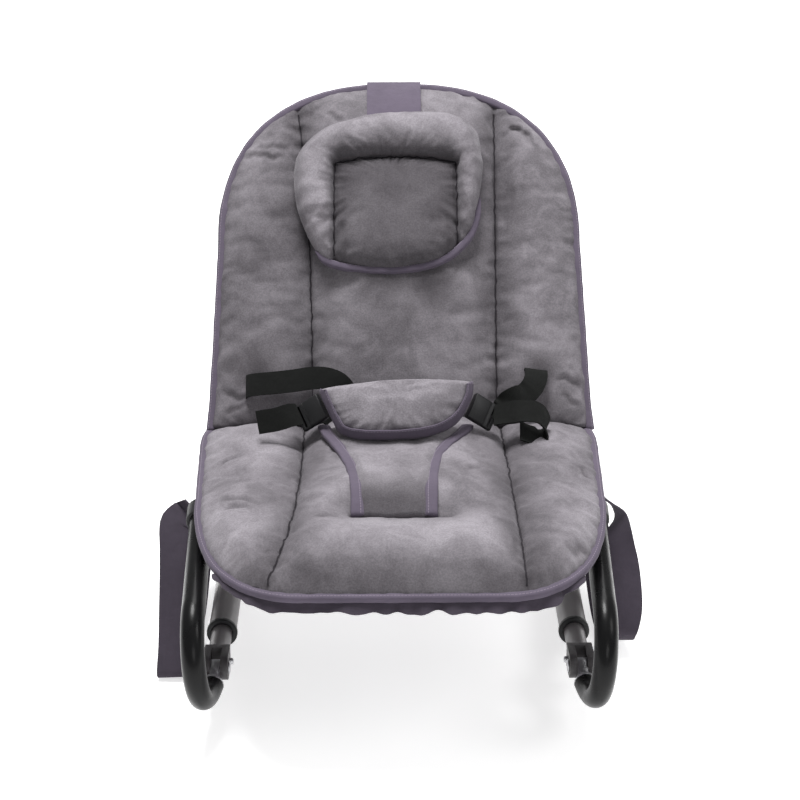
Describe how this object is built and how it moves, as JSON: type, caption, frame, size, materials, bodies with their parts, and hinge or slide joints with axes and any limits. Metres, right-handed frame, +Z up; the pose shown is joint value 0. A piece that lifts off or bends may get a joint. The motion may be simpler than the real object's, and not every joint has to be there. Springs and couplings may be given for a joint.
{
  "type": "baby rocker",
  "caption": "Reclining baby rocker: quilted padded seat on folding curved runners, with flip-up headrest, belly-pad harness and side carry handles.",
  "frame": {"origin": "centre of the footprint's bounding box, on the floor", "axes": "+Y runs along the runners from the front bows to the rear crossbar, +X to the viewer's right, +Z up"},
  "size_m": [0.5028, 0.6672, 0.4795],
  "materials": {
    "grey_paint": "satin grey powder coat",
    "black_paint": "semi-gloss black paint",
    "black_plastic": "fine-grained black moulding",
    "grey_plastic": "satin grey moulding",
    "zinc_steel": "zinc-plated",
    "black_rubber": "matte, slightly textured",
    "velour": "short-pile velour, mottled nap",
    "cover_cloth": "plain woven cover cloth",
    "webbing": "ribbed polypropylene webbing"
  },
  "bodies": {
    "base": {"runner_left": "grey_paint", "runner_right": "grey_paint", "runner_collar_left": "black_plastic", "runner_collar_right": "black_plastic", "runner_grip_left": "black_rubber", "runner_grip_right": "black_rubber", "spigot_tube_left": "grey_paint", "spigot_tube_right": "grey_paint", "fork_left": "grey_plastic", "fork_right": "grey_plastic", "clevis_pin_left": "zinc_steel", "clevis_pin_right": "zinc_steel", "rear_elbow_left": "black_plastic", "rear_elbow_right": "black_plastic", "rear_crossbar": "grey_paint"},
    "seat": {"bow_left": "black_paint", "bow_right": "black_paint", "bow_eye_left": "zinc_steel", "bow_eye_right": "zinc_steel", "bow_bracket_left": "black_plastic", "bow_bracket_right": "black_plastic", "seat_loop": "black_paint", "hub_seat_left": "grey_plastic", "hub_seat_right": "grey_plastic", "lock_gear_left": "zinc_steel", "lock_gear_right": "zinc_steel", "hub_pin_left": "zinc_steel", "hub_pin_right": "zinc_steel", "seat_pad": "velour", "cover_hem": "cover_cloth", "belly_pad": "velour", "crotch_strap": "velour", "buckle_socket_left": "black_plastic", "buckle_socket_right": "black_plastic", "carry_handle_left": "cover_cloth", "carry_handle_right": "cover_cloth"},
    "back": {"back_loop": "black_paint", "hub_back_left": "grey_plastic", "hub_back_right": "grey_plastic", "back_pad": "velour", "headrest_band": "cover_cloth"},
    "headrest": {"headrest": "velour"},
    "fold_button_left": {"fold_button_left": "zinc_steel"},
    "recline_button_left": {"recline_button_left": "black_plastic"},
    "buckle_left": {"buckle_plug_left": "black_plastic", "waist_belt_left": "webbing"},
    "fold_button_right": {"fold_button_right": "zinc_steel"},
    "recline_button_right": {"recline_button_right": "black_plastic"},
    "buckle_right": {"buckle_plug_right": "black_plastic", "waist_belt_right": "webbing"}
  },
  "joints": [
    {"name": "base_fold", "type": "hinge", "parent": "base", "child": "seat", "pos_m": [0, -0.2455, 0.05003], "axis": [-1, 0, 0], "range_deg": [0, 15]},
    {"name": "back_recline", "type": "hinge", "parent": "seat", "child": "back", "pos_m": [0, 0.038, 0.147], "axis": [1, 0, 0], "range_deg": [-24, 0], "deforming": ["waist_belt_left", "waist_belt_right"]},
    {"name": "headrest_flip", "type": "hinge", "parent": "back", "child": "headrest", "pos_m": [-0.008, 0.2615, 0.46405], "axis": [-1, 0, 0], "range_deg": [0, 100]},
    {"name": "fold_button_press_left", "type": "slide", "parent": "base", "child": "fold_button_left", "axis": [-1, 0, 0], "range_m": [0, 0.0025], "stiffness_N_per_m": 600, "springref_m": -0.002},
    {"name": "recline_button_press_left", "type": "slide", "parent": "back", "child": "recline_button_left", "axis": [1, 0, 0], "range_m": [0, 0.0025], "stiffness_N_per_m": 600, "springref_m": -0.002},
    {"name": "buckle_release_left", "type": "slide", "parent": "seat", "child": "buckle_left", "axis": [-0.8051, 0.0358, -0.592], "range_m": [0, 0.016], "deforming": ["waist_belt_left"]},
    {"name": "fold_button_press_right", "type": "slide", "parent": "base", "child": "fold_button_right", "axis": [1, 0, 0], "range_m": [0, 0.0025], "stiffness_N_per_m": 600, "springref_m": -0.002},
    {"name": "recline_button_press_right", "type": "slide", "parent": "back", "child": "recline_button_right", "axis": [-1, 0, 0], "range_m": [0, 0.0025], "stiffness_N_per_m": 600, "springref_m": -0.002},
    {"name": "buckle_release_right", "type": "slide", "parent": "seat", "child": "buckle_right", "axis": [0.8051, 0.0358, -0.592], "range_m": [0, 0.016], "deforming": ["waist_belt_right"]}
  ]
}
